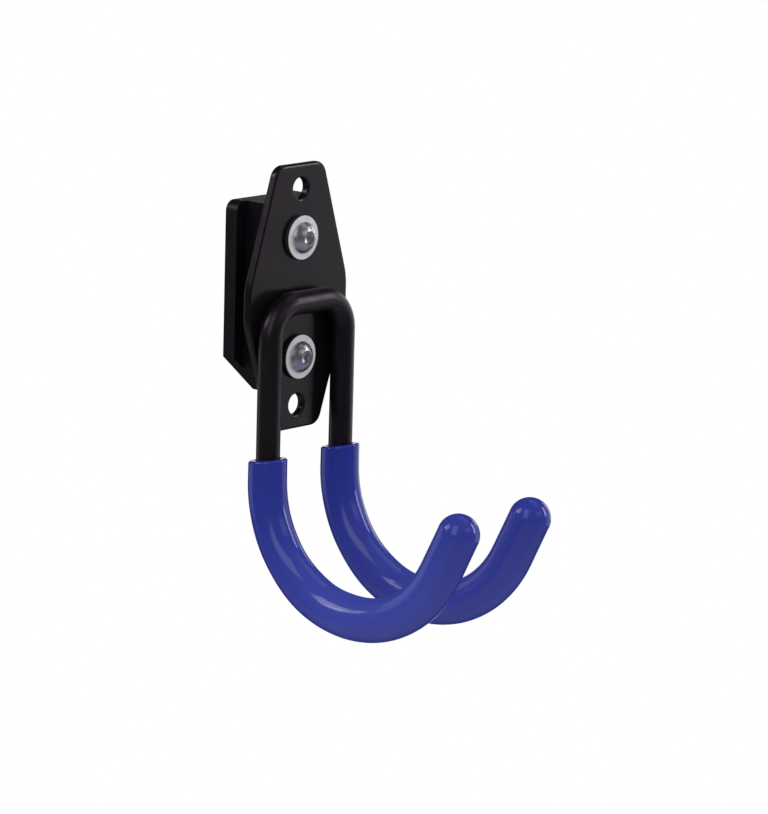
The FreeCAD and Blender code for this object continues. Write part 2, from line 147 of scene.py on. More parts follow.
# Node trees
class Nodes:
    """Writes a node tree in few lines."""

    def __init__(self, tree):
        self.tree = tree
        tree.nodes.clear()

    def add(self, kind, settings=None, **sockets):
        """New node with its settings and socket values; a socket value may be another node's output."""
        node = self.tree.nodes.new(kind)
        for name, value in (settings or {}).items():
            setattr(node, name, value)
        for name, value in sockets.items():
            self.put(node, name.replace("_", " "), value)
        return node

    def put(self, node, socket_name, value):
        """Set one input socket, or link it."""
        socket = node.inputs[socket_name]
        if isinstance(value, bpy.types.NodeSocket):
            self.tree.links.new(value, socket)
        else:
            socket.default_value = value

    def fill(self, node, *values):
        """Set or link the first input sockets in their order, and return the first output."""
        for number, value in enumerate(values):
            self.put(node, number, value)
        return node.outputs[0]

    def calculate(self, operation, first, second=0.0):
        """Result of a math node."""
        return self.fill(self.add("ShaderNodeMath", {"operation": operation}), first, second)

    def vector_value(self, operation, *vectors):
        """Number from a vector math node."""
        node = self.add("ShaderNodeVectorMath", {"operation": operation})
        self.fill(node, *vectors)
        return node.outputs["Value"]

    def ramp(self, value, stops):
        """Colour from a colour ramp, given as a list of place and colour."""
        node = self.add("ShaderNodeValToRGB", Fac=value)
        elements = node.color_ramp.elements
        while len(elements) < len(stops):
            elements.new(0.5)
        for element, (place, colour) in zip(elements, stops):
            element.position = place
            element.color = (*colour, 1.0)
        return node.outputs["Color"]

    def span(self, value, low, high, to_low, to_high):
        """Value moved from one range to another, and held at its ends."""
        node = self.add("ShaderNodeMapRange", Value=value, From_Min=low, From_Max=high,
                        To_Min=to_low, To_Max=to_high)
        return node.outputs[0]

    def mixed_shader(self, share, first, second):
        """Mix of two shader nodes; share 1 shows only the second."""
        return self.fill(self.add("ShaderNodeMixShader"), share, first.outputs[0], second.outputs[0])

    def show_on(self, output_kind, shader_output):
        """Link a shader to the tree's output."""
        output = self.add(output_kind)
        self.tree.links.new(shader_output, output.inputs["Surface"])


# Range that most of a noise texture's values lie in
NOISE_LOW = 0.3
NOISE_HIGH = 0.7

# Places of a mix node's colour sockets, whose names are shared with other sockets
MIX_FIRST = 6
MIX_SECOND = 7
MIX_RESULT = 2


class Surface(Nodes):
    """Material with one Principled shader, patterned in the object's own coordinates."""

    def __init__(self, name):
        self.material = bpy.data.materials.new(name)
        self.material.use_nodes = True
        super().__init__(self.material.node_tree)
        self.shader = self.add("ShaderNodeBsdfPrincipled")
        self.show_on("ShaderNodeOutputMaterial", self.shader.outputs[0])
        self.place = self.add("ShaderNodeTexCoord").outputs["Object"]

    def set(self, socket_name, value):
        """Set or link one of the shader's sockets."""
        self.put(self.shader, socket_name, value)

    def cloud(self, scale, detail=2.0, roughness=0.5, vector=None):
        """Value of a noise texture."""
        node = self.add("ShaderNodeTexNoise", Vector=vector or self.place, Scale=scale, Detail=detail,
                        Roughness=roughness)
        return node.outputs["Fac"]

    def drift(self, scale, detail, dark, pale):
        """Colour that drifts between two tints."""
        return self.ramp(self.cloud(scale, detail), [(NOISE_LOW, dark), (NOISE_HIGH, pale)])

    def mottle(self, scale, detail, dark, pale):
        """Base colour that drifts between two tints."""
        self.set("Base Color", self.drift(scale, detail, dark, pale))

    def vary_roughness(self, scale, smooth, rough):
        """Roughness that drifts between two values."""
        patches = self.cloud(scale, detail=4.0)
        self.set("Roughness", self.span(patches, NOISE_LOW, NOISE_HIGH, smooth, rough))

    def blend(self, share, first, second):
        """Colour between two colours."""
        node = self.add("ShaderNodeMix", {"data_type": "RGBA"}, Factor=share)
        self.put(node, MIX_FIRST, first)
        self.put(node, MIX_SECOND, second)
        return node.outputs[MIX_RESULT]

    def layered(self, coarse, fine, fine_share):
        """Relief of a coarse pattern with a share of a fine one."""
        return self.calculate("ADD", coarse, self.calculate("MULTIPLY", fine, fine_share))

    def emboss(self, height, strength, depth):
        """Fine relief on the whole surface."""
        bump = self.add("ShaderNodeBump", Strength=strength, Distance=depth * MM, Height=height)
        self.set("Normal", bump.outputs[0])


# Materials
BLACK_SHEEN = (0.97, 0.84, 1.0, 1.0)
# Dark colour painted on a washer's outer edge as painted shade on its side face, and the band that it
# covers
EDGE_SHADE_COLOUR = (0.03, 0.028, 0.032, 1.0)
EDGE_SHADE_BAND = (0.3, 0.05)
# Middle and reach of the paler tint on the sleeves' bend: painted light reflected from below
PAINTED_BOUNCE_MIDDLE = (-75.0, -95.0)
PAINTED_BOUNCE_REACH = (60.0, 22.0)


def powder_coat(name, smooth, rough):
    """Satin black powder coat with a fine orange-peel skin."""
    coat = Surface(name)
    coat.mottle(55.0, 3.0, (0.0036, 0.0025, 0.0040), (0.0056, 0.0042, 0.0060))
    coat.set("Specular Tint", BLACK_SHEEN)
    coat.vary_roughness(160.0, smooth, rough)
    peel = coat.cloud(1100.0)
    grit = coat.cloud(3600.0)
    coat.emboss(coat.layered(peel, grit, 0.35), strength=0.12, depth=0.12)
    return coat.material


def moulded_nylon():
    """Black moulded nylon, a little rougher than the coat, with a fine eroded grain and flow lines."""
    nylon = Surface("moulded_black_nylon")
    nylon.mottle(40.0, 3.0, (0.0032, 0.0024, 0.0040), (0.0050, 0.0040, 0.0060))
    nylon.set("Specular Tint", BLACK_SHEEN)
    nylon.set("Specular IOR Level", 0.35)
    nylon.vary_roughness(260.0, 0.31, 0.39)
    grain = nylon.cloud(2300.0, detail=4.0, roughness=0.65)
    flow = nylon.add("ShaderNodeMapping", Vector=nylon.place, Scale=(90.0, 90.0, 9.0))
    lines = nylon.cloud(6.0, vector=flow.outputs[0])
    nylon.emboss(nylon.layered(grain, lines, 0.5), strength=0.3, depth=0.1)
    return nylon.material


def blue_vinyl():
    """Glossy blue vinyl with faint ripples, with a paler tint painted round the bottom of the bend as
    painted light reflected from below.
    """
    vinyl = Surface("glossy_blue_vinyl")
    cloud = vinyl.cloud(38.0, detail=3.0)
    plain_blue = vinyl.ramp(cloud, [(0.25, (0.0190, 0.0295, 0.255)), (0.75, (0.0230, 0.0340, 0.285))])
    # Paler tint round the bottom of the bend: painted light reflected from below, not a colour of the
    # vinyl
    painted_bounce_tint = vinyl.ramp(cloud, [(0.25, (0.0430, 0.0560, 0.350)), (0.75, (0.0500, 0.0655, 0.385))])
    middle_y, middle_z = PAINTED_BOUNCE_MIDDLE
    side_view = vinyl.add("ShaderNodeMapping", Vector=vinyl.place, Scale=(0.0, 1.0, 1.0),
                          Location=(0.0, -middle_y * MM, -middle_z * MM))
    reach = vinyl.vector_value("LENGTH", side_view.outputs[0])
    far, near = PAINTED_BOUNCE_REACH
    painted_bounce = vinyl.span(reach, far * MM, near * MM, 0.0, 1.0)
    vinyl.set("Base Color", vinyl.blend(painted_bounce, plain_blue, painted_bounce_tint))
    vinyl.vary_roughness(210.0, 0.11, 0.16)
    vinyl.set("IOR", 1.5)
    ripple = vinyl.cloud(130.0, detail=1.0)
    pores = vinyl.cloud(1500.0)
    vinyl.emboss(vinyl.layered(ripple, pores, 0.012), strength=0.2, depth=0.2)
    return vinyl.material


def bright_plating():
    """Bright zinc plating on the screws, with small dents and dull patches."""
    plating = Surface("bright_screw_plating")
    plating.set("Metallic", 1.0)
    plating.mottle(420.0, 3.0, (0.64, 0.61, 0.69), (0.80, 0.77, 0.85))
    plating.vary_roughness(900.0, 0.25, 0.38)
    plating.emboss(plating.cloud(1300.0, detail=3.0), strength=0.1, depth=0.1)
    return plating.material


def matte_zinc():
    """Pale matte zinc with a fine crystal grain; a washer's outer edge is painted dark as painted shade.
    """
    zinc = Surface("matte_zinc")
    zinc.set("Metallic", 0.35)
    tint = zinc.drift(520.0, 4.0, (0.68, 0.665, 0.70), (0.80, 0.785, 0.82))
    # Dark band on the washer's outer edge: painted shade on its side face
    parts = zinc.add("ShaderNodeSeparateXYZ", Vector=zinc.place).outputs
    height = zinc.calculate("ABSOLUTE", parts["Z"])
    above = zinc.calculate("SUBTRACT", height, SCREW_LEVELS["upper"] * MM)
    aside = zinc.calculate("POWER", parts["X"], 2.0)
    reach = zinc.calculate("SQRT", zinc.calculate("ADD", aside, zinc.calculate("POWER", above, 2.0)))
    inner, outer = [(WASHER_RADIUS - inset) * MM for inset in EDGE_SHADE_BAND]
    painted_edge_shade = zinc.span(reach, inner, outer, 0.0, 1.0)
    zinc.set("Base Color", zinc.blend(painted_edge_shade, tint, EDGE_SHADE_COLOUR))
    crystals = zinc.add("ShaderNodeTexVoronoi", Vector=zinc.place, Scale=1700.0).outputs["Distance"]
    zinc.set("Roughness", zinc.span(crystals, 0.0, 0.8, 0.42, 0.56))
    zinc.emboss(crystals, strength=0.25, depth=0.08)
    return zinc.material


PLATE_COAT = powder_coat("satin_plate_coat", 0.19, 0.27)
ROD_COAT = powder_coat("satin_rod_coat", 0.29, 0.36)
NYLON = moulded_nylon()
VINYL = blue_vinyl()
PLATING = bright_plating()
ZINC = matte_zinc()


# Building blocks
def show(name, bm, material, node):
    """Finished piece from a bmesh in millimetres; it rides on the root body and replaces a CAD node."""
    bmesh.ops.recalc_face_normals(bm, faces=bm.faces)
    bmesh.ops.scale(bm, vec=(MM, MM, MM), verts=bm.verts)
    mesh = new_mesh(name, bm)
    mesh.polygons.foreach_set("use_smooth", [True] * len(mesh.polygons))
    mesh.materials.append(material)
    piece = new_object(name, mesh)
    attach(piece, "root")
    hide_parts(node)
    return piece


def weigh_normals(piece):
    """Keep flat faces flat and let the rounded edges carry the shading."""
    weigh = piece.modifiers.new("weighted_normals", "WEIGHTED_NORMAL")
    weigh.weight = 100
    weigh.keep_sharp = True


def add_rings(bm, rings, wrap=False):
    """Quads from ring to ring; returns the first and last ring's vertices."""
    rows = [[bm.verts.new(point) for point in ring] for ring in rings]
    following = rows[1:] + rows[:1] if wrap else rows[1:]
    for row, far_row in zip(rows, following):
        for index in range(len(row)):
            other = (index + 1) % len(row)
            bm.faces.new((row[index], row[other], far_row[other], far_row[index]))
    return rows[0], rows[-1]


def cap(bm, row, centre=None):
    """Close a ring with triangles to a centre point, which is the ring's middle if none is given."""
    if centre is None:
        centre = sum((vertex.co for vertex in row), Vector()) / len(row)
    middle = bm.verts.new(centre)
    for index in range(len(row)):
        bm.faces.new((row[index], row[(index + 1) % len(row)], middle))


def section_ring(across, up, radius, count):
    """Round ring of points about the origin."""
    ring = []
    for index in range(count):
        angle = math.tau * index / count
        ring.append(across * (radius * math.cos(angle)) + up * (radius * math.sin(angle)))
    return ring


def prong_route(side, top, tip_length, spacing=1.0):
    """Points and tangents of one prong's axis, from a height on its leg to a distance along its tip."""
    x = side * LEG_X
    route = []
    leg_steps = max(1, round((top - BEND_Z) / spacing))
    for step in range(leg_steps):
        height = top + (BEND_Z - top) * step / leg_steps
        route.append((Vector((x, ROD_Y, height)), Vector((0.0, 0.0, -1.0))))
    sweep = math.pi - TIP_LEAN
    for angle in arc_angles(0.0, sweep, round(BEND_RADIUS * sweep / spacing)):
        y = BEND_Y + BEND_RADIUS * math.cos(angle)
        z = BEND_Z - BEND_RADIUS * math.sin(angle)
        route.append((Vector((x, y, z)), Vector((0.0, -math.sin(angle), -math.cos(angle)))))
    bend_end, tip_way = route[-1]
    tip_steps = max(1, round(tip_length / spacing))
    for step in range(1, tip_steps + 1):
        route.append((bend_end + tip_way * (tip_length * step / tip_steps), tip_way))
    return route


# Hook rod: one bent bar, swept from the left tip over the arch to the right tip
ROD_FLATTENING = 0.03
ROD_SIDES = 96
ARCH_STEPS = 30
ARCH_START_GAP = 1.0


def arch_route():
    """Points, tangents and flattening of the arch, from the left leg's top to the right leg's top."""
    route = []
    for side, start, end in ((-1.0, math.pi, QUARTER_TURN), (1.0, QUARTER_TURN, 0.0)):
        centre = Vector((side * (LEG_X - ARCH_BEND), ROD_Y, ARCH_Z - ARCH_BEND))
        for angle in arc_angles(start, end, ARCH_STEPS):
            outward = Vector((math.cos(angle), 0.0, math.sin(angle)))
            way = Vector((math.sin(angle), 0.0, -math.cos(angle)))
            amount = ROD_FLATTENING * abs(math.sin(2.0 * angle))
            route.append((centre + outward * ARCH_BEND, way, outward, amount))
    return route


def rod_mesh():
    """Rod mesh, slightly flattened where the arch is bent."""
    upright = Vector((0.0, 0.0, 1.0))
    prongs = {}
    for name, side in SIDES.items():
        route = prong_route(side, ARCH_Z - ARCH_BEND - ARCH_START_GAP, TIP_LENGTH + ROD_PAST_TIP)
        prongs[name] = [(point, way, upright, 0.0) for point, way in route]
    rising = [(point, -way, outward, amount) for point, way, outward, amount in reversed(prongs["left"])]
    route = rising + arch_route() + prongs["right"]
    rings = []
    across = Vector((1.0, 0.0, 0.0))
    for point, way, outward, amount in route:
        across = (across - way * across.dot(way)).normalized()
        ring = section_ring(across, way.cross(across), ROD_RADIUS, ROD_SIDES)
        rings.append([point + spot - outward * (spot.dot(outward) * amount) for spot in ring])
    bm = bmesh.new()
    first, last = add_rings(bm, rings)
    cap(bm, first, route[0][0])
    cap(bm, last, route[-1][0])
    return bm


show("bent_rod", rod_mesh(), ROD_COAT, "hook_rod")


# Sleeves: thick vinyl tubes, thinner towards their open ends, with a slanted cut and a round tip
SLEEVE_RADII = [(0.0, 6.5), (0.12, 6.6), (0.25, 6.8), (0.4, 7.25), (0.52, 7.45), (0.7, 7.2), (1.0, 7.0)]
SLEEVE_REACH = 7.25
SLEEVE_BORE = 4.05
SLEEVE_TOP = -51.75
SLEEVE_SIDES = 144
BORE_SPACING = 3.0
LIP_ROUND = 0.9
MOUTH_GAP = 0.25
MOUTH_DEPTH = 1.0
MOUTH_START = 0.4
MOUTH_ROUND = 0.3
MOUTH_STEPS = 4
LIP_STEPS = 8
TIP_STEPS = 36
SLEEVE_SLANT = {"left": 0.14, "right": 0.17}
SLANT_FADE = 5.0
SLEEVE_WAVE = 0.05
WAVE_FREQUENCY = 0.11


def sleeve_mesh(name, side):
    """Closed sleeve mesh: its bore, its lip, its skin and its domed tip."""
    skin_route = prong_route(side, SLEEVE_TOP, TIP_LENGTH)
    bore_route = prong_route(side, SLEEVE_TOP, TIP_LENGTH + ROD_PAST_TIP, BORE_SPACING)
    across = Vector((1.0, 0.0, 0.0))
    slant = SLEEVE_SLANT[name]

    def ring(point, way, radius, wave=0.0):
        """Ring about the axis, drawn in by the wave and slanted near the open end."""
        spots = []
        for spot in section_ring(across, way.cross(across), radius, SLEEVE_SIDES):
            swing = 0.5 + 0.5 * noise.noise((point + spot) * WAVE_FREQUENCY)
            place = point + spot * (1.0 - wave * swing)
            if place.y > BEND_Y:
                lean = 1.0 - smooth_step(0.0, SLANT_FADE, SLEEVE_TOP - place.z)
                place.z -= slant * (place.y - ROD_Y) * lean
            spots.append(place)
        return spots

    rings = []
    for point, way in reversed(bore_route[1:]):
        rings.append(ring(point, way, SLEEVE_BORE))
    top_point, top_way = skin_route[0]
    top_radius = SLEEVE_RADII[0][1]
    rings.append(ring(top_point + top_way * MOUTH_DEPTH, top_way, SLEEVE_BORE + MOUTH_GAP * MOUTH_START))
    for angle in arc_angles(0.0, QUARTER_TURN, MOUTH_STEPS):
        inner = SLEEVE_BORE + MOUTH_GAP + MOUTH_ROUND * (1.0 - math.cos(angle))
        rings.append(ring(top_point + top_way * (MOUTH_ROUND * (1.0 - math.sin(angle))), top_way, inner))
    for angle in arc_angles(QUARTER_TURN, 0.0, LIP_STEPS):
        outer = top_radius - LIP_ROUND + LIP_ROUND * math.cos(angle)
        rings.append(ring(top_point + top_way * (LIP_ROUND * (1.0 - math.sin(angle))), top_way, outer))
    for number, (point, way) in enumerate(skin_route[2:], start=2):
        radius = smooth_between(SLEEVE_RADII, number / (len(skin_route) - 1))
        inwards = way.cross(across) * max(0.0, radius - SLEEVE_REACH)
        rings.append(ring(point + inwards, way, radius, SLEEVE_WAVE / SLEEVE_REACH))
    tip_point, tip_way = skin_route[-1]
    tip_radius = SLEEVE_RADII[-1][1]
    for angle in arc_angles(0.0, QUARTER_TURN, TIP_STEPS)[1:-1]:
        centre = tip_point + tip_way * (tip_radius * math.sin(angle))
        rings.append(ring(centre, tip_way, tip_radius * math.cos(angle)))
    bm = bmesh.new()
    first, last = add_rings(bm, rings)
    cap(bm, first, bore_route[-1][0])
    cap(bm, last, tip_point + tip_way * tip_radius)
    return bm


for name, side in SIDES.items():
    show(f"vinyl_sleeve_{name}", sleeve_mesh(name, side), VINYL, f"sleeve_{name}")


# Front plate: the outline and each hole are loops that turn over soft rims on both faces
PLATE_HALF_HEIGHT = 44.5
PLATE_END_HALF = 11.5
PLATE_WAIST_HALF = 24.25
PLATE_WAIST_TOP = 4.7
PLATE_WAIST_BOTTOM = -7.7
PLATE_CORNER = 5.0
PLATE_WAIST_ROUND = 22.0
PLATE_RIM = 1.0
FIXING_HOLE_RADIUS = 3.5
FIXING_HOLE_LEVEL = 36.3
FIXING_HOLE_RIM = 0.8
SCREW_HOLE_RADIUS = 3.3
SCREW_HOLE_RIM = 0.3


def rounded_outline(corners, steps=14):
    """Outline points of a polygon whose corners are rounded; a corner is (x, z, radius)."""
    points = []
    count = len(corners)
    for index in range(count):
        x, z, radius = corners[index]
        here = Vector((x, z))
        before = (Vector(corners[index - 1][:2]) - here).normalized()
        after = (Vector(corners[(index + 1) % count][:2]) - here).normalized()
        half_turn = before.angle(after) / 2
        reach = radius / math.tan(half_turn)
        centre = here + (before + after).normalized() * (radius / math.sin(half_turn))
        start = here + before * reach - centre
        end = here + after * reach - centre
        turn = start.angle(end)
        for step in range(steps + 1):
            share = step / steps
            swung = start * math.sin((1.0 - share) * turn) + end * math.sin(share * turn)
            points.append(centre + swung / math.sin(turn))
    return points


def moved_inwards(points, amount):
    """Closed loop moved sideways by an amount: inwards on a loop that runs anticlockwise."""
    moved = []
    for index, point in enumerate(points):
        before = (point - points[index - 1]).normalized()
        after = (points[(index + 1) % len(points)] - point).normalized()
        middle = (Vector((-before.y, before.x)) + Vector((-after.y, after.x))).normalized()
        slope = middle.dot(Vector((-after.y, after.x)))
        moved.append(point + middle * (amount / slope))
    return moved


def add_soft_plate(bm, loops, front, back, steps=6):
    """Plate between two Y planes; a loop is (points, rim radius), and the first is the outline."""
    face_rows = ([], [])
    for points, rim in loops:
        rows = []
        for angle in arc_angles(QUARTER_TURN, 0.0, steps):
            rows.append((rim * (1.0 - math.cos(angle)), front + rim * (1.0 - math.sin(angle))))
        for angle in arc_angles(0.0, QUARTER_TURN, steps):
            rows.append((rim * (1.0 - math.cos(angle)), back - rim * (1.0 - math.sin(angle))))
        rings = []
        for inset, y in rows:
            rings.append([Vector((spot.x, y, spot.y)) for spot in moved_inwards(points, inset)])
        first, last = add_rings(bm, rings)
        face_rows[0].append(first)
        face_rows[1].append(last)
    for rows in face_rows:
        edges = []
        for row in rows:
            for index in range(len(row)):
                edges.append(bm.edges.get((row[index], row[(index + 1) % len(row)])))
        bmesh.ops.triangle_fill(bm, use_beauty=True, edges=edges)


def hole_loop(z, radius, count=64):
    """Clockwise loop of a round hole, so that moving it inwards widens it."""
    loop = []
    for index in range(count):
        angle = -math.tau * index / count
        loop.append(Vector((radius * math.cos(angle), z + radius * math.sin(angle))))
    return loop


def plate_mesh():
    """Front plate with its six-sided outline, two fixing holes and two screw holes."""
    outline = rounded_outline([
        (PLATE_END_HALF, -PLATE_HALF_HEIGHT, PLATE_CORNER),
        (PLATE_WAIST_HALF, PLATE_WAIST_BOTTOM, PLATE_WAIST_ROUND),
        (PLATE_WAIST_HALF, PLATE_WAIST_TOP, PLATE_WAIST_ROUND),
        (PLATE_END_HALF, PLATE_HALF_HEIGHT, PLATE_CORNER),
        (-PLATE_END_HALF, PLATE_HALF_HEIGHT, PLATE_CORNER),
        (-PLATE_WAIST_HALF, PLATE_WAIST_TOP, PLATE_WAIST_ROUND),
        (-PLATE_WAIST_HALF, PLATE_WAIST_BOTTOM, PLATE_WAIST_ROUND),
        (-PLATE_END_HALF, -PLATE_HALF_HEIGHT, PLATE_CORNER),
    ])
    loops = [(outline, PLATE_RIM)]
    for z in (FIXING_HOLE_LEVEL, -FIXING_HOLE_LEVEL):
        loops.append((hole_loop(z, FIXING_HOLE_RADIUS), FIXING_HOLE_RIM))
    for z in SCREW_LEVELS.values():
        loops.append((hole_loop(z, SCREW_HOLE_RADIUS), SCREW_HOLE_RIM))
    bm = bmesh.new()
    add_soft_plate(bm, loops, PLATE_FRONT, PLATE_BACK)
    return bm


weigh_normals(show("coated_plate", plate_mesh(), PLATE_COAT, "front_plate"))


# Mounting block: a T-shaped bar cut to the block's outline, with bores and nut pockets
BLOCK_HALF = 18.0
BLOCK_TOP = 32.1
BLOCK_BOTTOM = -33.2
BLOCK_BEVEL_TOP = -20.2
BLOCK_BOTTOM_HALF = 3.0
BLOCK_CORNER = 3.5
BLOCK_CORNER_STEPS = 8
BOSS_HALF = 13.4
FLANGE_FRONT = -5.0
POCKET_FLOOR = -7.5
POCKET_REACH = 5.95
CUT_OVERLAP = 1.0
SOFT_EDGE = 0.036
SOFT_EDGE_ANGLE = math.radians(35.0)


def scratch_prism(near_ring, far_ring):
    """Unshown closed prism between two rings, in millimetres, for a boolean step."""
    bm = bmesh.new()
    for row in add_rings(bm, (near_ring, far_ring)):
        bm.faces.new(row)
    bmesh.ops.recalc_face_normals(bm, faces=bm.faces)
    return new_object("scratch", new_mesh("scratch", bm))


def prism_along_y(outline, front, back):
    """Scratch prism from an outline in X and Z."""
    return scratch_prism(*([Vector((x, y, z)) for x, z in outline] for y in (front, back)))


def prism_along_z(outline, bottom, top):
    """Scratch prism from an outline in X and Y."""
    return scratch_prism(*([Vector((x, y, z)) for x, y in outline] for z in (bottom, top)))


def shaped(base, tools):
    """Bmesh of the base after each (operation, tool) step; all the scratch objects are removed."""
    for operation, tool in tools:
        step = base.modifiers.new("step", "BOOLEAN")
        step.operation = operation
        step.object = tool
        step.solver = "EXACT"
    bpy.context.view_layer.update()
    result = base.evaluated_get(bpy.context.evaluated_depsgraph_get())
    bm = bmesh.new()
    bm.from_mesh(result.to_mesh())
    result.to_mesh_clear()
    for piece in (base, *(tool for operation, tool in tools)):
        mesh = piece.data
        bpy.data.objects.remove(piece)
        bpy.data.meshes.remove(mesh)
    return bm


def mirrored(outline):
    """Right half of an outline with its mirror image on the left."""
    return outline + [(-x, z) for x, z in reversed(outline)]


def block_mesh():
    """T-slot block with its bevelled bottom, two bores and two hexagonal nut pockets."""
    outline = [(BLOCK_BOTTOM_HALF, BLOCK_BOTTOM), (BLOCK_HALF, BLOCK_BEVEL_TOP)]
    for angle in arc_angles(0.0, QUARTER_TURN, BLOCK_CORNER_STEPS):
        outline.append((BLOCK_HALF - BLOCK_CORNER + BLOCK_CORNER * math.cos(angle),
                        BLOCK_TOP - BLOCK_CORNER + BLOCK_CORNER * math.sin(angle)))
    bar_outline = [(BOSS_HALF, PLATE_BACK), (BOSS_HALF, FLANGE_FRONT),
                   (BLOCK_HALF + CUT_OVERLAP, FLANGE_FRONT), (BLOCK_HALF + CUT_OVERLAP, 0.0)]
    bar = prism_along_z(mirrored(bar_outline), BLOCK_BOTTOM - CUT_OVERLAP, BLOCK_TOP + CUT_OVERLAP)
    steps = [("INTERSECT", prism_along_y(mirrored(outline), PLATE_BACK - CUT_OVERLAP, CUT_OVERLAP))]
    for z in SCREW_LEVELS.values():
        bore_outline = [(spot.x, spot.y) for spot in hole_loop(z, SCREW_HOLE_RADIUS, count=48)]
        hexagon = []
        for corner in range(6):
            angle = math.tau * corner / 6
            hexagon.append((POCKET_REACH * math.cos(angle), z + POCKET_REACH * math.sin(angle)))
        steps.append(("DIFFERENCE", prism_along_y(bore_outline, PLATE_BACK - CUT_OVERLAP, CUT_OVERLAP)))
        steps.append(("DIFFERENCE", prism_along_y(hexagon, POCKET_FLOOR, CUT_OVERLAP)))
    return shaped(bar, steps)


block = show("moulded_block", block_mesh(), NYLON, "mount_block")
soften = block.modifiers.new("soft_edges", "BEVEL")
soften.width = SOFT_EDGE * MM
soften.segments = 4
soften.limit_method = "ANGLE"
soften.angle_limit = SOFT_EDGE_ANGLE
weigh_normals(block)


# Screws, washers and nuts turn about the screw axes
HEAD_RADIUS = 5.25
HEAD_HEIGHT = 3.3
HEAD_RIM = 0.5
HEAD_EDGE = 0.12
DOME_EDGE = 0.1
DOME_STEPS = 12
SOCKET_APOTHEM = 2.0
SOCKET_DEPTH = 2.1
# Rows of the socket as (radius, height above its floor), then as (share of its width, height)
SOCKET_CONE = [(0.3, -0.35), (1.4, -0.05)]
SOCKET_WALL = [(0.9, 0.0), (0.985, 0.04), (1.0, 0.2)]
SOCKET_MOUTH_SLOPES = (1.1, 0.9)
SOCKET_MOUTH_DROP = 0.05
SOCKET_RIM = 0.2
SOCKET_RIM_DROP = 0.02
SOCKET_RIM_EDGE = 0.08
SHANK_RADIUS = 3.0
SHANK_FILLET = 0.2
SCREW_LENGTH = 16.0
SCREW_END_CHAMFER = 0.6
THREAD_PITCH = 1.0
THREAD_DEPTH = 0.45
THREAD_LENGTH = 9.0
THREAD_STEPS = 120
THREAD_RUN_IN = 8
WASHER_THICKNESS = 1.5
WASHER_BORE = 3.3
WASHER_BORE_ROUND = 0.2
WASHER_EDGE_ROUND = 0.35
WASHER_BACK_EDGE = 0.1
NUT_APOTHEM = 5.0
NUT_HEIGHT = 5.0
NUT_BORE = 3.05
NUT_CHAMFER = 0.5
NUT_FACE_SHARE = 0.95
NUT_FACE_SLOPE = math.radians(30.0)
NUT_CHAMFER_SHARES = (0.25, 0.5, 0.75, 1.0)
SHARP_ANGLE = math.radians(32.0)
SCREW_TURNS = {"upper": math.radians(14.0), "lower": math.radians(-9.0)}
TURNED_SIDES = 96


def hexagon_reach(angle, apothem):
    """Distance from a hexagon's centre to its side in a direction."""
    return apothem / math.cos((angle + math.pi / 6) % (math.pi / 3) - math.pi / 6)


def turned(rows, level_z, seat_y, turn=0.0, closed_ends=True):
    """Piece about a screw axis; each row is a function that gives (radius, height) in a direction."""
    bm = bmesh.new()
    rings = []
    for row in rows:
        ring = []
        for index in range(TURNED_SIDES):
            angle = math.tau * index / TURNED_SIDES
            radius, height = row(angle)
            ring.append(Vector((radius * math.cos(angle + turn), seat_y - height,
                                level_z + radius * math.sin(angle + turn))))
        rings.append(ring)
    first, last = add_rings(bm, rings, wrap=not closed_ends)
    if closed_ends:
        cap(bm, first)
        cap(bm, last)
    return bm


def plain(radius, height):
    """Row whose radius and height are the same all round."""
    return lambda angle: (radius, height)


def arc_rows(radius, height, bend, start, end, steps):
    """Plain rows along an arc about a point of the profile."""
    rows = []
    for angle in arc_angles(start, end, steps):
        rows.append(plain(radius + bend * math.cos(angle), height + bend * math.sin(angle)))
    return rows


def socket_rows(dome_height, rim):
    """Rows of the hexagonal socket from its floor to the round rim in the dome."""
    floor = HEAD_HEIGHT - SOCKET_DEPTH

    def wall(share, height):
        """Hexagonal row at a share of the socket's width."""
        return lambda angle: (hexagon_reach(angle, SOCKET_APOTHEM) * share, height)

    def mouth(slope):
        """Row along the socket's edge; it lies lower where the side is further from the rim."""
        def row(angle):
            reach = hexagon_reach(angle, SOCKET_APOTHEM)
            return reach, dome_height(rim) - slope * (rim - reach) - SOCKET_MOUTH_DROP
        return row

    rows = [plain(radius, floor + height) for radius, height in SOCKET_CONE]
    rows += [wall(share, floor + height) for share, height in SOCKET_WALL]
    rows += [mouth(slope) for slope in SOCKET_MOUTH_SLOPES]
    rows.append(plain(rim, dome_height(rim) - SOCKET_RIM_DROP))
    return rows


def thread_row(height, depth_share):
    """Row of the thread: its radius falls and rises once in a turn, and the fall climbs by the pitch."""
    def row(angle):
        turns = (height / THREAD_PITCH - angle / math.tau) % 1.0
        depth = THREAD_DEPTH * (1.0 - abs(2.0 * turns - 1.0)) * depth_share
        return SHANK_RADIUS - depth, height
    return row


